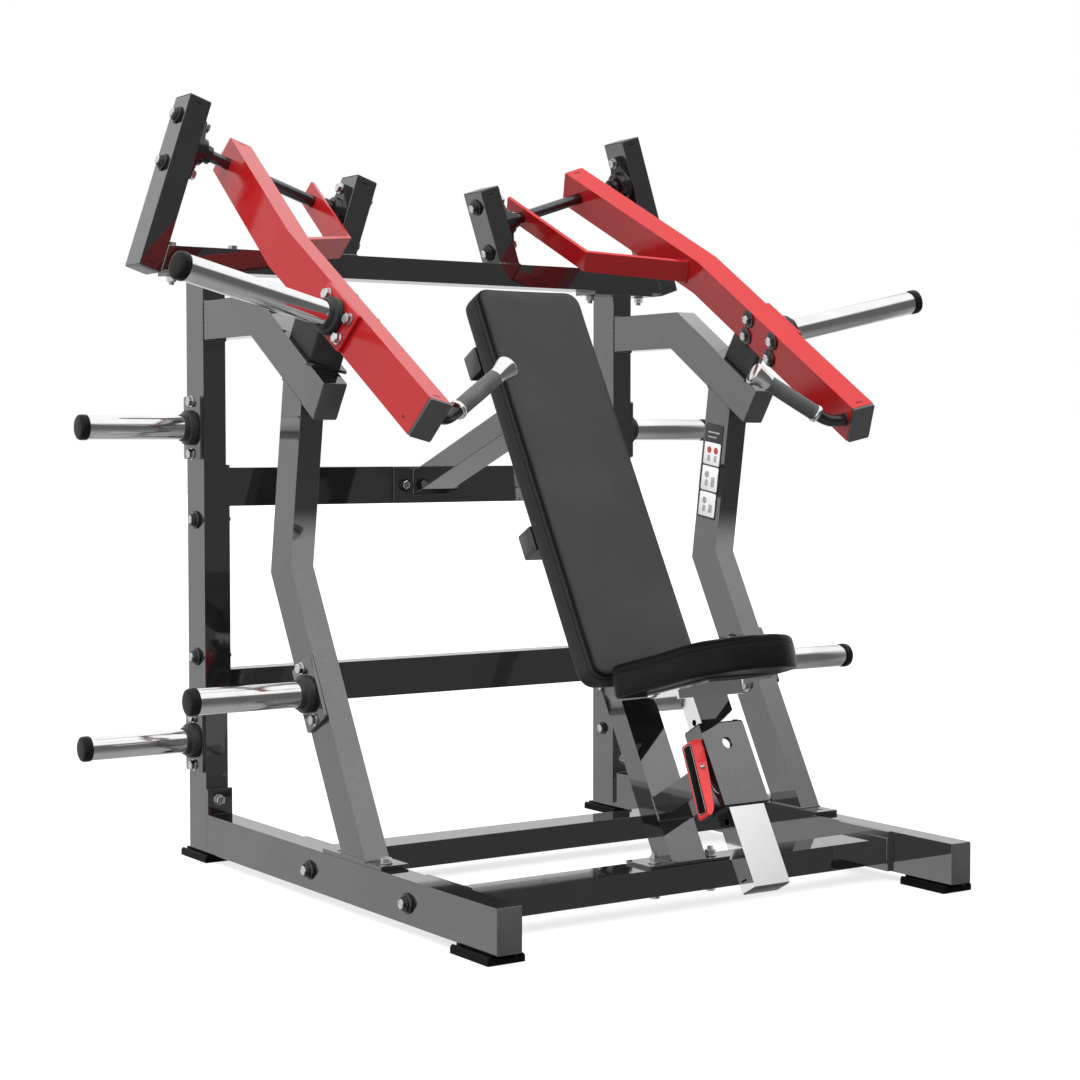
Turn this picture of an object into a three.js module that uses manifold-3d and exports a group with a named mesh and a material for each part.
// Plate-loaded incline chest press: a bolted steel frame, two independent lever arms
// hung from tilted pivots, an inclined back pad and a height-adjustable seat.
//
// Units are millimetres, +Z is up, the floor is z = 0, the machine is symmetric about
// x = 0 apart from a few seat and drain details, and the person sits facing -Y (front).
// While building, y = 0 is the front face of the rear uprights; the finished group is
// moved so that the origin is under its middle. "left" is -X and "right" is +X.
import * as THREE from "three";
import { mergeVertices } from "three/addons/utils/BufferGeometryUtils.js";
import Module from "manifold-3d";

const wasm = await Module();
wasm.setup();

const vec = (x, y, z) => new THREE.Vector3(x, y, z);
const rad = THREE.MathUtils.degToRad;
const RIGHT = vec(1, 0, 0), REAR = vec(0, 1, 0), UP = vec(0, 0, 1);
const BOTH_SIDES = [-1, 1];

// ---------------------------------------------------------------- shared dimensions
const GAP = 0.3; // clearance between neighbouring pieces
const WELD = 0.3; // overlap of welded parts
const TUBE_NARROW = 50;
const TUBE_WIDE = 80;
const TUBE_WALL = 3;
const PLATE = 8; // mounting plate thickness
const BOLT_R = 6.2;
const FRAME_INNER_X = 496.3; // inner face of each side frame
const FRAME_OUTER_X = FRAME_INNER_X + TUBE_NARROW;
const UPRIGHT_Y = TUBE_WIDE / 2; // centre of the rear uprights
const UPRIGHT_PLATE_Y = [1, 79];
const RAIL_BOTTOM = 17.4;
const RAIL_TOP = RAIL_BOTTOM + TUBE_WIDE;
const BEAM_BOTTOM = 1220;
const BEAM_TOP = BEAM_BOTTOM + TUBE_NARROW;
const SHAFT_R = 12.5;
const ROD_R = 12.5; // handle rod
const BORE_CLEARANCE = 0.35;
const MID_ORIGIN_SHIFT_Y = 530.763;

const FINISH = {
  paint: { color: 0x2e2e30, roughness: 0.3, metalness: 0.4 },
  red: { color: 0xc8322f, roughness: 0.35, metalness: 0.15 },
  chrome: { color: 0xd8d8da, roughness: 0.08, metalness: 1 },
  black: { color: 0x151516, roughness: 0.35, metalness: 0.6 },
  rubber: { color: 0x222224, roughness: 0.8, metalness: 0 },
  plastic: { color: 0x2a2a2b, roughness: 0.55, metalness: 0 },
  vinyl: { color: 0x303031, roughness: 0.6, metalness: 0 },
  gripGrey: { color: 0x4a4a4c, roughness: 0.75, metalness: 0 },
  zinc: { color: 0xb8bcc0, roughness: 0.25, metalness: 1 },
};

// ---------------------------------------------------------------- vector helpers
const offset = (point, direction, distance) => point.clone().addScaledVector(direction, distance);
const opposite = (direction) => direction.clone().negate();
const cross = (a, b) => vec(0, 0, 0).crossVectors(a, b);
const toward = (from, to) => to.clone().sub(from).normalize();
const axesAt = (origin, first, second, third) =>
  new THREE.Matrix4().makeBasis(first, second, third).setPosition(origin);
// Slide a point along a direction until it reaches a plane, or a height.
const toPlane = (point, direction, planePoint, normal) =>
  offset(point, direction, planePoint.clone().sub(point).dot(normal) / direction.dot(normal));
const toHeight = (point, direction, z) => offset(point, direction, (z - point.z) / direction.z);

// ---------------------------------------------------------------- solid helpers
function solid(geometry) {
  const bare = geometry.clone();
  for (const key of Object.keys(bare.attributes)) {
    if (key !== "position") bare.deleteAttribute(key);
  }
  const merged = mergeVertices(bare, 1e-3);
  const triangles = new Uint32Array(merged.index.array);
  const make = () => new wasm.Manifold(new wasm.Mesh({
    numProp: 3,
    vertProperties: new Float32Array(merged.attributes.position.array),
    triVerts: triangles,
  }));
  const body = make();
  if (body.volume() > 0) return body;
  // left-handed axes turn the body inside out: swap two corners of every triangle
  for (let i = 0; i < triangles.length; i += 3) {
    [triangles[i + 1], triangles[i + 2]] = [triangles[i + 2], triangles[i + 1]];
  }
  return make();
}

function toGeometry(body) {
  const mesh = body.getMesh();
  const geometry = new THREE.BufferGeometry();
  const positions = new Float32Array(mesh.vertProperties);
  geometry.setAttribute("position", new THREE.BufferAttribute(positions, 3));
  geometry.setIndex(new THREE.BufferAttribute(new Uint32Array(mesh.triVerts), 1));
  const flat = geometry.toNonIndexed();
  flat.computeVertexNormals();
  return flat;
}

// Block given by its range along each axis.
function box([x0, x1], [y0, y1], [z0, z1], axes = new THREE.Matrix4()) {
  const size = [x1 - x0, y1 - y0, z1 - z0].map(Math.abs);
  const block = new THREE.BoxGeometry(...size);
  block.translate((x0 + x1) / 2, (y0 + y1) / 2, (z0 + z1) / 2);
  return solid(block.applyMatrix4(axes));
}

// Matrix that lays the +Y axis along a direction.
const placeAlong = (origin, direction) =>
  new THREE.Matrix4().makeRotationFromQuaternion(
    new THREE.Quaternion().setFromUnitVectors(REAR, direction.clone().normalize()),
  ).setPosition(origin);

function cylinder(from, to, radius, segments) {
  const span = to.clone().sub(from), length = span.length();
  const geometry = new THREE.CylinderGeometry(radius, radius, length, segments);
  return solid(geometry.translate(0, length / 2, 0).applyMatrix4(placeAlong(from, span)));
}

// Turned piece: profile of [radius, distance from the origin along the direction].
function turned(profile, origin, direction, segments = 24) {
  const points = profile.map(([radius, height]) => new THREE.Vector2(radius, height));
  const geometry = new THREE.LatheGeometry(points, segments);
  return solid(geometry.applyMatrix4(placeAlong(origin, direction)));
}

const polygon = (points) => new THREE.Shape(points.map(([x, y]) => new THREE.Vector2(x, y)));

// Outline in the first two axes, thickened along the third.
function prism(points, axes, start, end) {
  const settings = { depth: end - start, bevelEnabled: false };
  const geometry = new THREE.ExtrudeGeometry(polygon(points), settings);
  return solid(geometry.translate(0, 0, start).applyMatrix4(axes));
}

// Corner radii run counterclockwise from (x1, y1).
function roundedRect(x0, x1, y0, y1, radii, steps) {
  const corners = [[x1, y1, -1, -1], [x0, y1, 1, -1], [x0, y0, 1, 1], [x1, y0, -1, 1]];
  return corners.flatMap(([x, y, inwardX, inwardY], k) =>
    Array.from({ length: steps + 1 }, (_, i) => {
      const angle = rad(90 * k + (90 * i) / steps), r = radii[k];
      return [x + inwardX * r + r * Math.cos(angle), y + inwardY * r + r * Math.sin(angle)];
    }));
}
const plateOutline = (x0, x1, y0, y1) => roundedRect(x0, x1, y0, y1, [3, 3, 3, 3], 2);

const circlePoints = (x, y, radius, count) =>
  Array.from({ length: count }, (_, i) => {
    const angle = (2 * Math.PI * i) / count;
    return [x + radius * Math.cos(angle), y + radius * Math.sin(angle)];
  });

// Convex outline round a set of discs [x, y, radius].
function discHull(discs, segments) {
  const points = discs.flatMap((disc) => circlePoints(...disc, segments));
  points.sort((p, q) => p[0] - q[0] || p[1] - q[1]);
  const halfHull = (list) => {
    const hull = [];
    for (const p of list) {
      while (hull.length > 1) {
        const [a, b] = hull.slice(-2);
        const turn = (b[0] - a[0]) * (p[1] - a[1]) - (b[1] - a[1]) * (p[0] - a[0]);
        if (turn > 1e-6) break;
        hull.pop();
      }
      hull.push(p);
    }
    hull.pop();
    return hull;
  };
  return [...halfHull(points), ...halfHull([...points].reverse())];
}

// Rectangular bar along a path with mitred bends: width along the bend axis, depth
// across it. The two cuts are plane normals for the ends, square by default.
function bar(path, bendAxis, width, depth, { startCut, endCut } = {}) {
  const last = path.length - 1, positions = [], index = [];
  const runs = path.slice(1).map((point, i) => toward(path[i], point));
  path.forEach((point, i) => {
    const run = runs[Math.min(i, last - 1)];
    let cut;
    if (i === 0) cut = startCut || run;
    else if (i === last) cut = endCut || run;
    else cut = runs[i - 1].clone().add(runs[i]).normalize();
    const across = cross(bendAxis, run).normalize();
    for (const [a, b] of [[1, 1], [-1, 1], [-1, -1], [1, -1]]) {
      const square = offset(offset(point, bendAxis, (a * width) / 2), across, (b * depth) / 2);
      positions.push(...toPlane(square, run, point, cut).toArray());
    }
  });
  for (let i = 0; i < last; i++) {
    for (let k = 0; k < 4; k++) {
      const a = i * 4 + k, b = i * 4 + ((k + 1) % 4);
      index.push(a, a + 4, b, b, a + 4, b + 4);
    }
  }
  const e = last * 4;
  index.push(0, 1, 2, 0, 2, 3, e, e + 2, e + 1, e, e + 3, e + 2);
  const geometry = new THREE.BufferGeometry();
  geometry.setAttribute("position", new THREE.BufferAttribute(new Float32Array(positions), 3));
  geometry.setIndex(index);
  return solid(geometry);
}

// Hollow bar; the inside runs out past both ends to leave them open.
function tube(path, bendAxis, width, depth, { wall = TUBE_WALL, ...cuts } = {}) {
  const overrun = 90, inside = [...path], last = path.length - 1;
  inside[0] = offset(path[0], toward(path[0], path[1]), -overrun);
  inside[last] = offset(path[last], toward(path[last - 1], path[last]), overrun);
  return bar(path, bendAxis, width, depth, cuts)
    .subtract(bar(inside, bendAxis, width - 2 * wall, depth - 2 * wall));
}

// Subtract one hole per place.
const drill = (body, places, hole) =>
  places.reduce((rest, place) => rest.subtract(hole(place)), body);
// Bolt holes along each axis.
const boltX = (x0, x1, y, z) => cylinder(vec(x0, y, z), vec(x1, y, z), BOLT_R, 12);
const boltY = (x, y0, y1, z) => cylinder(vec(x, y0, z), vec(x, y1, z), BOLT_R, 12);
const boltZ = (x, y, z0, z1) => cylinder(vec(x, y, z0), vec(x, y, z1), BOLT_R, 12);

// ================================================================ layout of one side
const ARM_Z = 1120; // centre of the upper arm's horizontal part
const ARM_SLOPE = rad(33.1); // below horizontal, sloped part
const SLOPE = vec(0, -Math.cos(ARM_SLOPE), -Math.sin(ARM_SLOPE));
const SLOPE_UP = vec(0, -Math.sin(ARM_SLOPE), Math.cos(ARM_SLOPE));
const ARM_END_TOP = [-517.4, 979.2]; // upper corner of the arm's free end (y, z)
const POST_FOOT = [-624.6, 105.7]; // front post, centre line (y, z)
const POST_KINK = [-339, 623.3];
const POST_LEAN = rad(8.6); // upper part, from vertical

// The pivot axes meet on x = 0 and rise outward.
const PIVOT_TILT = rad(18.3);
const TILT_COS = Math.cos(PIVOT_TILT), TILT_SIN = Math.sin(PIVOT_TILT);
const PIVOT_Y = 36, PIVOT_Z = 1293; // where they meet
const INNER_POST = [167.5, 218], OUTER_POST = [581, 631]; // spans along the pivot axis

const LEVER_OUT = 470.5; // lever centre along the pivot axis
const LEVER_DROP = rad(31.1); // below horizontal, in the lever's own plane
const LEVER_TOE = rad(10.4); // lower run turns inward
const LEVER_TAIL = 55, LEVER_UPPER_RUN = 413.4, LEVER_LOWER_RUN = 608;
const LEVER_FACE = TUBE_NARROW / 2; // side faces from the lever's centre line

function pivotLayout(sign) {
  const outward = vec(sign * TILT_COS, 0, TILT_SIN);
  const upward = vec(-sign * TILT_SIN, 0, TILT_COS);
  const direction = (out, front, up) =>
    offset(offset(offset(vec(0, 0, 0), outward, out), REAR, -front), upward, up);
  const point = (out, up = 0) => vec(0, PIVOT_Y, PIVOT_Z).add(direction(out, 0, up));
  const bore = cylinder(point(230), point(560), SHAFT_R + BORE_CLEARANCE, 24);
  return { outward, upward, direction, point, bore };
}

function leverLayout({ direction, point }) {
  const dropCos = Math.cos(LEVER_DROP), dropSin = Math.sin(LEVER_DROP);
  const toeCos = Math.cos(LEVER_TOE), toeSin = Math.sin(LEVER_TOE);
  const upperRun = direction(0, dropCos, -dropSin);
  const up = direction(0, dropSin, dropCos);
  const lowerRun = direction(-toeSin, toeCos * dropCos, -toeCos * dropSin);
  const lowerOut = direction(toeCos, toeSin * dropCos, -toeSin * dropSin);
  const centre = point(LEVER_OUT), bend = offset(centre, upperRun, LEVER_UPPER_RUN);
  const lowerPoint = (along, out, rise) =>
    offset(offset(offset(bend, lowerRun, along), lowerOut, out), up, rise);
  const lowerAxes = axesAt(bend, lowerRun, up, lowerOut);
  const tip = offset(bend, lowerRun, LEVER_LOWER_RUN);
  return { upperRun, up, lowerRun, lowerOut, centre, bend, tip, lowerPoint, lowerAxes };
}

function sideLayout(sign) {
  const x = (sign * (FRAME_INNER_X + FRAME_OUTER_X)) / 2;
  const armEndTop = vec(x, ...ARM_END_TOP);
  const armEnd = offset(armEndTop, SLOPE_UP, -TUBE_WIDE / 2);
  const saddleAxes = axesAt(armEndTop, RIGHT, opposite(SLOPE), SLOPE_UP);
  const pivot = pivotLayout(sign), lever = leverLayout(pivot);
  return { sign, x, armEnd, saddleAxes, pivot, lever };
}

// ================================================================ side frames
const RAIL_FRONT = -1108;
const beamBolt = (x) => boltZ(x, UPRIGHT_Y, 1200, 1280);
const BEAM_BOLT_X = [457.8, 597.8];
const POST_BOLT_Y = [-540, -700];
const postBolt = (x) => (y) => boltZ(x, y, 85, 115);

// Ground rail with a flange plate that bolts to the upright.
function groundRail({ sign, x }) {
  const z = (RAIL_BOTTOM + RAIL_TOP) / 2, flangeY = [-PLATE, -GAP];
  const inner = sign * FRAME_INNER_X, outer = sign * FRAME_OUTER_X;
  const path = [vec(x, RAIL_FRONT, z), vec(x, -PLATE + WELD, z)];
  const rail = tube(path, RIGHT, TUBE_NARROW, TUBE_WIDE)
    .add(box([inner - sign * 6, outer], flangeY, [27, 150.5]))
    .add(box([inner, outer], flangeY, [RAIL_BOTTOM, 30]));
  return drill(rail, POST_BOLT_Y, postBolt(x)).subtract(boltY(x, -20, 10, 127));
}

// Rear upright with a plate under the cross beam.
function rearUpright({ sign, x }) {
  const top = BEAM_BOTTOM - GAP, plateBottom = top - PLATE;
  const path = [vec(x, UPRIGHT_Y, RAIL_BOTTOM), vec(x, UPRIGHT_Y, plateBottom + WELD)];
  const upright = tube(path, RIGHT, TUBE_NARROW, TUBE_WIDE)
    .add(box([sign * 445, sign * 610], UPRIGHT_PLATE_Y, [plateBottom, top]));
  return drill(upright, BEAM_BOLT_X, (boltAt) => beamBolt(sign * boltAt));
}

// Forward from the upright, then sloping down.
function upperArm({ x, armEnd }) {
  const path = [vec(x, -GAP, ARM_Z), toHeight(armEnd, SLOPE, ARM_Z), armEnd];
  return tube(path, RIGHT, TUBE_NARROW, TUBE_WIDE);
}

// Kinked front post on its bolting plate, cut to fit under the upper arm.
function frontPost({ sign, x, armEnd }) {
  const lean = vec(0, -Math.sin(POST_LEAN), Math.cos(POST_LEAN));
  const foot = vec(x, ...POST_FOOT), kink = vec(x, ...POST_KINK);
  const start = toHeight(foot, toward(foot, kink), RAIL_TOP + PLATE - 0.5);
  const underArm = offset(armEnd, SLOPE_UP, -TUBE_WIDE / 2 - GAP);
  const path = [start, kink, toPlane(kink, lean, underArm, SLOPE_UP)];
  const plateX = [sign * (FRAME_INNER_X - 8), sign * FRAME_OUTER_X];
  const post = tube(path, RIGHT, TUBE_NARROW, TUBE_WIDE, { startCut: UP, endCut: SLOPE_UP })
    .add(box(plateX, [-725, -505], [RAIL_TOP + GAP, RAIL_TOP + PLATE]));
  return drill(post, POST_BOLT_Y, postBolt(x));
}

// Lever stop: saddle plate over the arm's end and a rubber block cut to the lever.
// Discs are [outward, up the slope, radius].
const SADDLE_TOP = 7;
const SADDLE_DISCS = [[33, 64.3, 1], [33, 183.5, 1], [-37, 33.5, 1], [-37, 147, 1]];
const BLOCK_DISCS = [[13, 74, 12], [20, 162, 5], [-20, 42, 6], [-21, 128, 5]];
const sidedHull = (sign, discs, segments) =>
  discHull(discs.map(([out, y, radius]) => [sign * out, y, radius]), segments);

const stopSaddle = ({ sign, saddleAxes }) =>
  prism(sidedHull(sign, SADDLE_DISCS, 8), saddleAxes, GAP, SADDLE_TOP);

function stopBlock({ sign, saddleAxes, lever }) {
  const { bend, lowerRun, up } = lever;
  const leverAxes = axesAt(bend, lowerRun, up, cross(lowerRun, up));
  const aboveLeverUnderside = box([-400, 700], [-40.4, 200], [-300, 300], leverAxes);
  return prism(sidedHull(sign, BLOCK_DISCS, 16), saddleAxes, SADDLE_TOP + GAP, 130)
    .subtract(aboveLeverUnderside);
}

// ================================================================ pivots
function pivotPost({ pivot }, [from, to], bottom, top, cuts) {
  const middle = (from + to) / 2;
  const path = [bottom, top].map((up) => pivot.point(middle, up).setY(38));
  return tube(path, REAR, 72, to - from, cuts);
}
const outerPost = (half) => pivotPost(half, OUTER_POST, -273.9, 94.7);
// The inner post stands on the top beam.
function innerPost(half) {
  const middle = (INNER_POST[0] + INNER_POST[1]) / 2;
  const bottom = (BEAM_TOP + GAP - PIVOT_Z - middle * TILT_SIN) / TILT_COS;
  return pivotPost(half, INNER_POST, bottom, 85.4, { startCut: UP });
}

// Two-bolt flange bearing; facing is +1 outward or -1 inward along the pivot axis.
const BEARING_FLANGE = [[0, 0, 33], [52, 0, 13], [-52, 0, 13]]; // discs
const BEARING_HUB = [[0, 11], [31, 11], [29, 24], [24, 27], [0, 27]]; // radius, height
function bearing({ pivot }, out, facing) {
  const base = pivot.point(out), direction = pivot.outward.clone().multiplyScalar(facing);
  const axes = axesAt(base, pivot.upward, cross(direction, pivot.upward), direction);
  const from = pivot.point(out - facing * 5), to = pivot.point(out + facing * 40);
  return prism(discHull(BEARING_FLANGE, 20), axes, 0, 12)
    .add(turned(BEARING_HUB, base, direction))
    .subtract(cylinder(from, to, SHAFT_R + BORE_CLEARANCE, 24));
}

const leverShaft = ({ pivot }) =>
  cylinder(pivot.point(INNER_POST[1] + 1), pivot.point(OUTER_POST[0] - 1), SHAFT_R, 24);

// ================================================================ levers
function leverArm({ pivot, lever }) {
  const tail = offset(lever.centre, lever.upperRun, -LEVER_TAIL);
  return tube([tail, lever.bend, lever.tip], lever.up, TUBE_WIDE, TUBE_NARROW)
    .subtract(pivot.bore);
}

// Cap plate with a plug that fits into the tube.
function leverEndCap({ lever }) {
  const axes = axesAt(lever.tip, lever.lowerOut, lever.up, lever.lowerRun);
  return prism(plateOutline(-25, 25, -40, 40), axes, GAP, 7)
    .add(box([-21.5, 21.5], [-36.5, 36.5], [-20, 1], axes));
}

// Flat bracket from the shaft to the lever's inner face.
function leverBracket({ pivot, lever }) {
  const at = (out, along) => offset(pivot.point(out), lever.upperRun, along);
  const path = [at(282, -LEVER_TAIL), at(282, 227.5), at(LEVER_OUT - LEVER_FACE - GAP, 378)];
  return bar(path, lever.up, 50, 8, { endCut: pivot.outward }).subtract(pivot.bore);
}

// ================================================================ weight horns
const HORN_R = 24.3, HORN_WALL = 4;
const HORN_LENGTH = 798 - FRAME_OUTER_X; // storage horns all end at the same x

function addHornPipe(plate, base, outward, { start, boreStart, end }) {
  const profile = [[0, start], [HORN_R, start], [HORN_R, end], [0, end]];
  const from = offset(base, outward, boreStart), to = offset(base, outward, end + 5);
  return plate.add(turned(profile, base, outward))
    .subtract(cylinder(from, to, HORN_R - HORN_WALL, 16));
}

// On the outer face of the lower run.
function leverHorn({ lever }) {
  const plateFront = LEVER_FACE + PLATE;
  const outline = plateOutline(200.5, 330.5, -40, 40);
  const plate = prism(outline, lever.lowerAxes, LEVER_FACE + GAP, plateFront);
  const range = { start: plateFront - 1, boreStart: plateFront + 1, end: 379 };
  return addHornPipe(plate, lever.lowerPoint(265.3, 0, -1), lever.lowerOut, range);
}

// Storage horn on the outer face of the side frame.
function storageHorn({ sign }, base, up) {
  const outward = vec(sign, 0, 0);
  const axes = axesAt(base, cross(up, outward).normalize(), up, outward);
  const plate = prism(plateOutline(-40, 40, -65, 65), axes, GAP, PLATE);
  const range = { start: PLATE - 1, boreStart: PLATE + 2, end: HORN_LENGTH };
  return addHornPipe(plate, base, outward, range);
}
const uprightHorn = (z) => (half) =>
  storageHorn(half, vec(half.sign * FRAME_OUTER_X, UPRIGHT_Y, z), UP);
function frontHorn(half) {
  const onOuterFace = (yz) => vec(half.sign * FRAME_OUTER_X, ...yz);
  const foot = onOuterFace(POST_FOOT), up = toward(foot, onOuterFace(POST_KINK));
  return storageHorn(half, toHeight(foot, up, 394), up);
}

// ================================================================ handles
// The straight part runs from where the grip starts to the inner end.
function handleLayout(sign) {
  const start = vec(sign * 426.2, -792.3, 925.7), end = vec(sign * 291, -753, 1008);
  const direction = toward(start, end);
  const at = (distance) => offset(start, direction, distance);
  return { start, direction, at, length: start.distanceTo(end) };
}

// Bent rod from the lever's inner face, its root dressed flush with that face.
function handleRod({ sign, lever }) {
  const { at, length } = handleLayout(sign);
  const root = lever.lowerPoint(590, -LEVER_FACE - GAP, 2);
  const control = offset(root, lever.lowerOut, -22);
  const extrudePath = new THREE.CubicBezierCurve3(root, control, at(-30), at(-2));
  const section = polygon(circlePoints(0, 0, ROD_R, 16));
  const settings = { steps: 10, extrudePath, bevelEnabled: false };
  return solid(new THREE.ExtrudeGeometry(section, settings))
    .add(cylinder(at(-2.5), at(length - 22), ROD_R, 20))
    .subtract(box([500, 700], [-60, 60], [-LEVER_FACE - GAP, 40], lever.lowerAxes));
}

function handleGrip({ sign }) {
  const gripR = 16.3, { at, length } = handleLayout(sign);
  return cylinder(at(4), at(length - 42), gripR, 24)
    .subtract(cylinder(at(-5), at(length), ROD_R + BORE_CLEARANCE, 20));
}

// Flared cap: radius, distance before the handle's end.
const GRIP_CAP_PROFILE = [
  [0, 41], [14.8, 41], [15.6, 34], [18, 20], [22, 8], [24, 3], [22.5, 0], [0, 0],
];
function gripEndCap({ sign }) {
  const { start, direction, at, length } = handleLayout(sign);
  const profile = GRIP_CAP_PROFILE.map(([radius, before]) => [radius, length - before]);
  return turned(profile, start, direction)
    .subtract(cylinder(at(length - 50), at(length - 21), ROD_R + BORE_CLEARANCE, 20));
}

// ================================================================ rubber feet
// Half section of the tray with raised sides: x from the centre, z.
const FOOT_HALF = [
  [37.5, 0], [37.5, 9], [36.5, 13], [33.5, 15.5], [30.5, 15.5],
  [28, 13], [27.5, 8], [24.5, 8], [24.5, 17.1],
];
function foot(x, frontY, rearY) {
  const section = [...FOOT_HALF, ...FOOT_HALF.map(([across, z]) => [-across, z]).reverse()];
  const axes = axesAt(vec(x, rearY, 0), RIGHT, UP, opposite(REAR));
  return prism(section, axes, 0, rearY - frontY);
}
// The front foot's raised sides are notched at its front end.
function frontFoot({ x }) {
  const frontY = -1100;
  const notch = box([x - 27.5, x + 27.5], [frontY - 5, frontY + 9], [11.5, 30]);
  return foot(x, frontY, -980).subtract(notch);
}
const rearFoot = ({ x }) => foot(x, -21.5, 98);

// ================================================================ cross members
// Beam between the outer pivot posts, its ends cut to their tilt.
function topBeam() {
  const z = (BEAM_BOTTOM + BEAM_TOP) / 2;
  const endX = (OUTER_POST[0] - GAP - (z - PIVOT_Z) * TILT_SIN) / TILT_COS;
  const cuts = { startCut: vec(-TILT_COS, 0, TILT_SIN), endCut: vec(TILT_COS, 0, TILT_SIN) };
  const path = [vec(-endX, UPRIGHT_Y, z), vec(endX, UPRIGHT_Y, z)];
  const beam = tube(path, REAR, TUBE_WIDE, TUBE_NARROW, cuts);
  const boltsX = BOTH_SIDES.flatMap((side) => BEAM_BOLT_X.map((x) => side * x));
  return drill(beam, boltsX, beamBolt);
}

const SPAN_X = FRAME_INNER_X - 0.4; // outer face of the plates between the side frames

// Cross tube with a drain hole underneath.
function crossTube(y, z, depth, height) {
  const endX = SPAN_X - 7.5, bottom = z - height / 2;
  return tube([vec(-endX, y, z), vec(endX, y, z)], UP, height, depth)
    .subtract(cylinder(vec(330, y, bottom - 3), vec(330, y, bottom + 6), 6, 12));
}

// Bolting plate at each end, with holes at [y, z].
function addEndPlates(body, plateY, plateZ, bolts) {
  return BOTH_SIDES.reduce((rest, side) => {
    const plate = box([side * SPAN_X, side * (SPAN_X - PLATE)], plateY, plateZ);
    return drill(rest.add(plate), bolts, ([y, z]) =>
      boltX(side * (SPAN_X - 20), side * (SPAN_X + 10), y, z));
  }, body);
}

const REAR_TUBE_Z = 776.9; // upper cross tube of the rear frame
const BRACE_BOLT_X = [-62.6, 62.6];
const braceBolt = (x) => boltY(x, 0, 30, 776.6);
function rearFrame() {
  const tubes = crossTube(UPRIGHT_Y, REAR_TUBE_Z, TUBE_NARROW, TUBE_WIDE)
    .add(crossTube(UPRIGHT_Y, 355, TUBE_NARROW, TUBE_WIDE));
  const bolts = [[UPRIGHT_Y, 709], [UPRIGHT_Y, 423.6]];
  const framed = addEndPlates(tubes, UPRIGHT_PLATE_Y, [315, 823], bolts);
  return drill(framed, BRACE_BOLT_X, braceBolt);
}

const FRONT_CROSS_Z = 59;
const PAD_FOOT_BOLT_X = [-62, 62];
const padFootBolt = (x) => boltZ(x, -905, 70, 95);
function baseCrossmember(y, z, plateY, boltAtY) {
  const plateZ = [RAIL_BOTTOM + GAP, RAIL_TOP - GAP];
  return addEndPlates(crossTube(y, z, TUBE_WIDE, TUBE_NARROW), plateY, plateZ, [[boltAtY, 56]]);
}
const frontCrossmember = () =>
  drill(baseCrossmember(-898, FRONT_CROSS_Z, [-940, -795], -818.7), PAD_FOOT_BOLT_X, padFootBolt);
const rearCrossmember = () => baseCrossmember(-374, 50, [-478, -334], -453);

// ================================================================ back rest
// Reclined axes from a point on the pad's face: x, distance in front of that face, and
// distance up along it. The seat post and sleeve are laid out in them too.
const RECLINE = rad(29.3); // from vertical
const PAD_ORIGIN = vec(0, -773, 489.4);
const PAD_UP = vec(0, Math.sin(RECLINE), Math.cos(RECLINE));
const PAD_FRONT = vec(0, -Math.cos(RECLINE), Math.sin(RECLINE));
const PAD_AXES = axesAt(PAD_ORIGIN, RIGHT, PAD_FRONT, PAD_UP);
const PAD_BACKWARD_AXES = axesAt(PAD_ORIGIN, RIGHT, PAD_UP, opposite(PAD_FRONT));
const reclined = (x, front, up) =>
  offset(offset(offset(PAD_ORIGIN, RIGHT, x), PAD_FRONT, front), PAD_UP, up);
const reclinedBox = (x, front, up) => box(x, front, up, PAD_AXES);
const BACK_TUBE_FRONT = -61.7; // front face of the backrest tube

// Main tube on a foot plate, with two short cross tubes.
function backrestFrame() {
  const centre = BACK_TUBE_FRONT - TUBE_NARROW / 2, crossCentre = -84.5;
  const crossWidth = 52, crossDepth = 45, walls = 2 * TUBE_WALL;
  const plateBottom = FRONT_CROSS_Z + TUBE_NARROW / 2 + GAP, plateTop = plateBottom + 5;
  const run = (z, end) =>
    [toHeight(reclined(0, centre, 0), PAD_UP, z), reclined(0, centre, end)];
  const crossRun = (x, up) => [reclined(-x, crossCentre, up), reclined(x, crossCentre, up)];
  const cut = { startCut: UP };
  let body = bar(run(plateTop - 0.5, 730), RIGHT, TUBE_WIDE, TUBE_NARROW, cut);
  let hollow = bar(run(96, 800), RIGHT, TUBE_WIDE - walls, TUBE_NARROW - walls, cut);
  for (const up of [257, 665]) {
    body = body.add(bar(crossRun(127, up), PAD_UP, crossWidth, crossDepth));
    hollow = hollow.add(bar(crossRun(150, up), PAD_UP, crossWidth - walls, crossDepth - walls));
  }
  body = body.subtract(hollow).add(box([-94, 94], [-930, -855], [plateBottom, plateTop]));
  return drill(body, PAD_FOOT_BOLT_X, padFootBolt);
}

// Board and foam as one body, with a face layer inset all round.
function softPad(axes, { halfWidth, start, end, radii, steps, thickness }) {
  const outline = (inset) => roundedRect(-halfWidth + inset, halfWidth - inset,
    start + inset, end - inset, radii.map((radius) => radius - inset), steps);
  return prism(outline(0), axes, 7, thickness).add(prism(outline(6), axes, 0, 8));
}
const backPad = () => softPad(PAD_BACKWARD_AXES, {
  halfWidth: 129, start: -69, end: 799, radii: [32, 32, 32, 32], steps: 5, thickness: 60.9,
});

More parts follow.
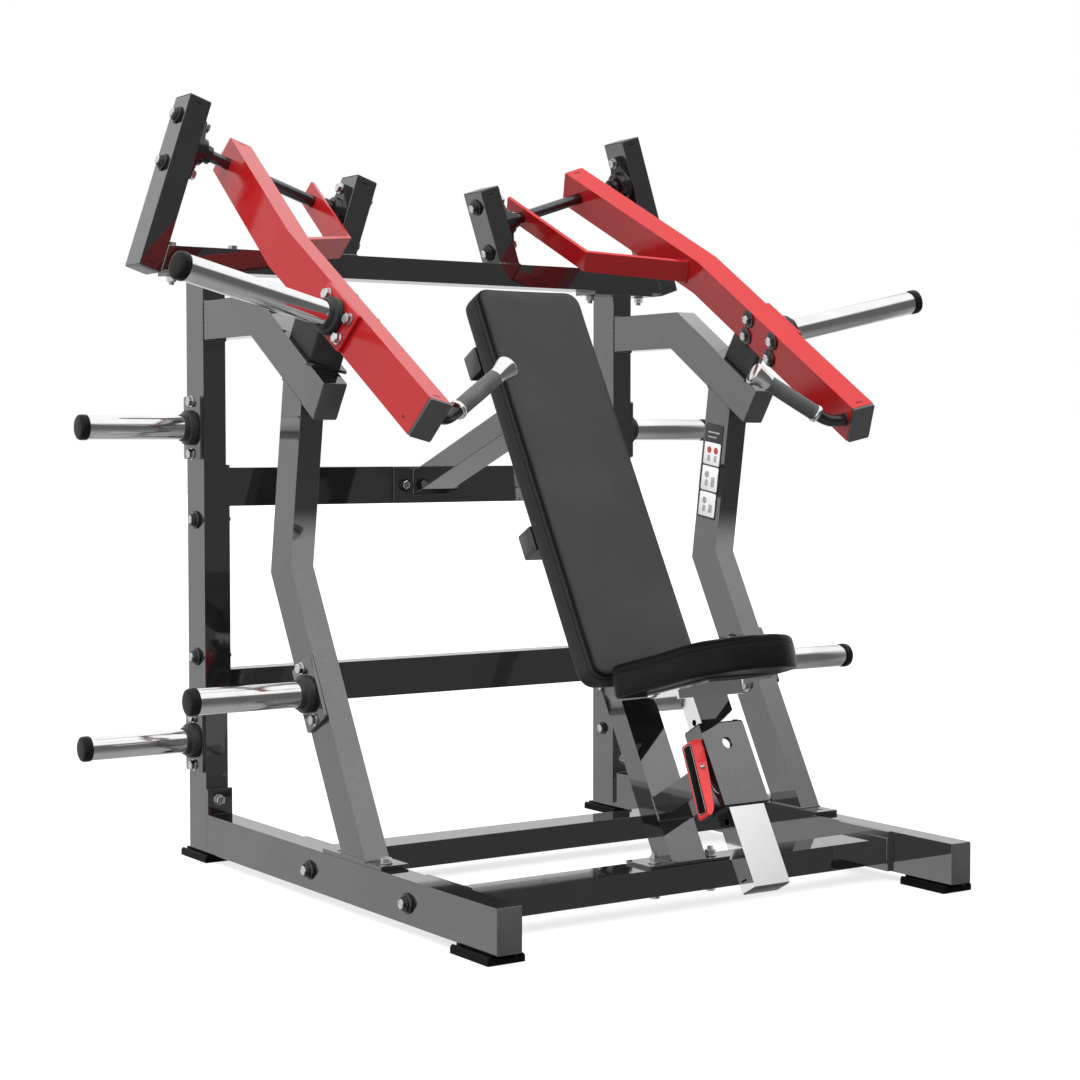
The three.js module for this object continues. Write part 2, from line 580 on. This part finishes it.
// Brace between the backrest tube and the rear frame.
function padBrace() {
  const rise = rad(20.3), direction = vec(0, -Math.cos(rise), Math.sin(rise));
  const start = vec(0, 10, 780), face = UPRIGHT_Y - TUBE_NARROW / 2;
  const tubeBack = reclined(0, BACK_TUBE_FRONT - TUBE_NARROW - GAP, 0);
  const path = [start, toPlane(start, direction, tubeBack, PAD_FRONT)];
  const plateZ = [REAR_TUBE_Z - TUBE_WIDE / 2, REAR_TUBE_Z + TUBE_WIDE / 2];
  const cuts = { startCut: REAR, endCut: PAD_FRONT };
  const brace = tube(path, RIGHT, TUBE_WIDE, TUBE_NARROW, cuts)
    .add(box([-90, 90], [face - PLATE, face - GAP], plateZ));
  return drill(brace, BRACE_BOLT_X, braceBolt);
}

// ================================================================ seat column
const SLEEVE_BOTTOM = -390, SLEEVE_TOP = -234; // along the post
const LATCH_X = -69.8, LATCH_FRONT = 123.5, LATCH_UP = -312.3; // latch pivot
const LOCK_PIN_UP = -261.5, LOCK_PIN_R = 4;
const LEFT = opposite(RIGHT);

const latchPivotHole = () => cylinder(reclined(LATCH_X, LATCH_FRONT - 30, LATCH_UP),
  reclined(LATCH_X, LATCH_FRONT + 30, LATCH_UP), 3.4, 16);
const lockPinHole = (endX) => cylinder(reclined(-60, LATCH_FRONT, LOCK_PIN_UP),
  reclined(endX, LATCH_FRONT, LOCK_PIN_UP), LOCK_PIN_R + 0.4, 16);
const sleeveFrontHole = () => cylinder(reclined(0, 140, -273), reclined(0, 160, -273), 11, 20);

// Sleeve with its link tube and the ear that holds the latch pin.
function seatSleeve() {
  const inside = reclinedBox([-48, 48], [103.5, 146.7], [SLEEVE_BOTTOM - 5, SLEEVE_TOP + 5]);
  const sleevePath = [reclined(0, 125.1, SLEEVE_BOTTOM), reclined(0, 125.1, SLEEVE_TOP)];
  const linkPath = [reclined(0, BACK_TUBE_FRONT + GAP, -316.9), reclined(0, 101.6, -316.9)];
  const link = tube(linkPath, RIGHT, 80, 46)
    .subtract(reclinedBox([-60, 60], [102, 130], [-400, -200]));
  const earDiscs = [[-50, LATCH_UP - 7, 2.5], [-50, LATCH_UP + 7, 2.5], [LATCH_X, LATCH_UP, 6.5]];
  const ear = prism(discHull(earDiscs, 16), PAD_BACKWARD_AXES,
    -(LATCH_FRONT + 12), -(LATCH_FRONT - 2));
  return tube(sleevePath, RIGHT, 102, 48, { wall: 2.4 })
    .subtract(inside).add(link).add(ear).subtract(latchPivotHole())
    .subtract(inside).subtract(lockPinHole(-44)).subtract(sleeveFrontHole());
}

// Plastic liner with a rim at each end of the sleeve.
function sleeveLiner() {
  const rim = (up) => reclinedBox([-50, 50], [102, 148.2], up);
  const postSpace = [SLEEVE_BOTTOM - 20, SLEEVE_TOP + 20];
  return reclinedBox([-47.7, 47.7], [103.8, 146.4], [SLEEVE_BOTTOM - 2, SLEEVE_TOP + 2])
    .add(rim([SLEEVE_TOP + GAP, SLEEVE_TOP + 2.5]))
    .add(rim([SLEEVE_BOTTOM - 2.5, SLEEVE_BOTTOM - GAP]))
    .subtract(reclinedBox([-40.35, 40.35], [104.65, 145.35], postSpace))
    .subtract(lockPinHole(-30)).subtract(sleeveFrontHole());
}

// Seat axes from a point on the seat's top face, near the rear.
const SEAT_TILT = rad(14.3); // rises to the front
const SEAT_ORIGIN = vec(0, -850, 456);
const SEAT_FRONT = vec(0, -Math.cos(SEAT_TILT), Math.sin(SEAT_TILT));
const SEAT_UP = vec(0, Math.sin(SEAT_TILT), Math.cos(SEAT_TILT));
const SEAT_THICKNESS = 62;

// Chromed tube with a row of holes on its left face, and the plate the seat bolts to
// with a cross rib under it.
function seatPost() {
  const centre = 125, firstHole = -414.6, holePitch = 38.7, holeCount = 6;
  const axes = axesAt(SEAT_ORIGIN, RIGHT, SEAT_FRONT, SEAT_UP);
  const insidePlate = offset(SEAT_ORIGIN, SEAT_UP, -SEAT_THICKNESS - 4);
  const top = toPlane(reclined(0, centre, 0), PAD_UP, insidePlate, SEAT_UP);
  const post = tube([reclined(0, centre, -543.2), top], RIGHT, 80, 40, { endCut: SEAT_UP });
  const holes = Array.from({ length: holeCount }, (_, i) => firstHole + i * holePitch);
  const plate = box([-75, 75], [30, 215], [-SEAT_THICKNESS - 6.4, -SEAT_THICKNESS - 0.4], axes);
  const rib = box([-75, 75], [118, 124], [-SEAT_THICKNESS - 22, -SEAT_THICKNESS - 5], axes);
  return drill(post, holes, (up) =>
    cylinder(reclined(-50, centre, up), reclined(-30, centre, up), 6, 16)).add(plate.add(rib));
}

const seatPad = () => softPad(axesAt(SEAT_ORIGIN, RIGHT, SEAT_FRONT, opposite(SEAT_UP)), {
  halfWidth: 118, start: -35, end: 299, radii: [96, 96, 28, 28], steps: 7,
  thickness: SEAT_THICKNESS,
});

// ================================================================ seat latch
// Grip outline: distance out from the sleeve's left face, distance up from the pivot.
const LATCH_OUTLINE = [
  [1.5, 50.5], [1.5, 30], [4.6, 9], [6.4, -2], [10.5, -27], [16.2, -51],
  [21, -75], [23.8, -81.4], [28.8, -87.6], [33, -90.4], [36.4, -90.6], [38.2, -89],
  [38.6, -86], [26.1, 46], [25, 50], [22, 52.6], [6, 53], [2.6, 52.4],
];
function latchLever() {
  const origin = reclined(-51, LATCH_FRONT, LATCH_UP);
  const axes = axesAt(origin, LEFT, PAD_UP, opposite(PAD_FRONT));
  const earSlot = box([-2, 26.4], [-17, 17], [-12.8, 2.8], axes);
  const pinHeadPocket = box([-2, 6.6], [41, 57], [-6, 6], axes);
  return prism(LATCH_OUTLINE, axes, -20.5, 10.5)
    .subtract(earSlot).subtract(pinHeadPocket).subtract(latchPivotHole());
}

// Pin profiles: radius, distance along the pin.
const PIVOT_PIN_PROFILE = [
  [0, -12.1], [5, -12.1], [5, -10.9], [3.05, -10.9], [3.05, 20.9],
  [5, 20.9], [5, 22.5], [3.4, 23.5], [0, 23.5],
];
const LOCK_PIN_PROFILE = [
  [0, 40.5], [2.9, 40.5], [LOCK_PIN_R, 42], [LOCK_PIN_R, 55.4], [0, 55.4],
];
const latchPivotPin = () =>
  turned(PIVOT_PIN_PROFILE, reclined(LATCH_X, LATCH_FRONT, LATCH_UP), PAD_FRONT, 16);
const lockPin = () =>
  turned(LOCK_PIN_PROFILE, reclined(0, LATCH_FRONT, LOCK_PIN_UP), LEFT, 16);

// ================================================================ assembly
const SIDE_PIECES = [
  ["rail", groundRail, "paint"],
  ["rear_upright", rearUpright, "paint"],
  ["upper_arm", upperArm, "paint"],
  ["front_post", frontPost, "paint"],
  ["stop_saddle", stopSaddle, "paint"],
  ["stop_block", stopBlock, "rubber"],
  ["pivot_post_outer", outerPost, "paint"],
  ["pivot_post_inner", innerPost, "paint"],
  ["bearing_inner", (half) => bearing(half, INNER_POST[1] + GAP, 1), "black"],
  ["bearing_outer", (half) => bearing(half, OUTER_POST[0] - GAP, -1), "black"],
  ["lever_shaft", leverShaft, "zinc"],
  ["lever_arm", leverArm, "red"],
  ["lever_end_cap", leverEndCap, "plastic"],
  ["lever_bracket", leverBracket, "red"],
  ["lever_horn", leverHorn, "chrome"],
  ["handle_rod", handleRod, "black"],
  ["handle_grip", handleGrip, "gripGrey"],
  ["grip_end_cap", gripEndCap, "chrome"],
  ["storage_horn_upper", uprightHorn(899.8), "chrome"],
  ["storage_horn_lower", uprightHorn(249), "chrome"],
  ["storage_horn_front", frontHorn, "chrome"],
  ["foot_front", frontFoot, "rubber"],
  ["foot_rear", rearFoot, "rubber"],
];
const CENTRE_PIECES = [
  ["top_beam", topBeam, "paint"],
  ["rear_h_frame", rearFrame, "paint"],
  ["base_front_crossmember", frontCrossmember, "paint"],
  ["base_rear_crossmember", rearCrossmember, "paint"],
  ["backrest_frame", backrestFrame, "paint"],
  ["back_pad", backPad, "vinyl"],
  ["pad_brace", padBrace, "paint"],
  ["seat_sleeve", seatSleeve, "paint"],
  ["sleeve_liner", sleeveLiner, "plastic"],
  ["seat_post", seatPost, "chrome"],
  ["seat_pad", seatPad, "vinyl"],
  ["latch_lever", latchLever, "red"],
  ["latch_pivot_pin", latchPivotPin, "zinc"],
  ["lock_pin", lockPin, "zinc"],
];

const group = new THREE.Group();
function add(name, body, finish) {
  const material = new THREE.MeshStandardMaterial(FINISH[finish]);
  const mesh = new THREE.Mesh(toGeometry(body), material);
  mesh.name = name;
  group.add(mesh);
}
for (const [sideName, sign] of [["left", -1], ["right", 1]]) {
  const half = sideLayout(sign);
  for (const [name, build, finish] of SIDE_PIECES) add(`${name}_${sideName}`, build(half), finish);
}
for (const [name, build, finish] of CENTRE_PIECES) add(name, build(), finish);

// The origin is on the floor, at the centre of the machine's outline.
group.position.y = MID_ORIGIN_SHIFT_Y;
export default group;
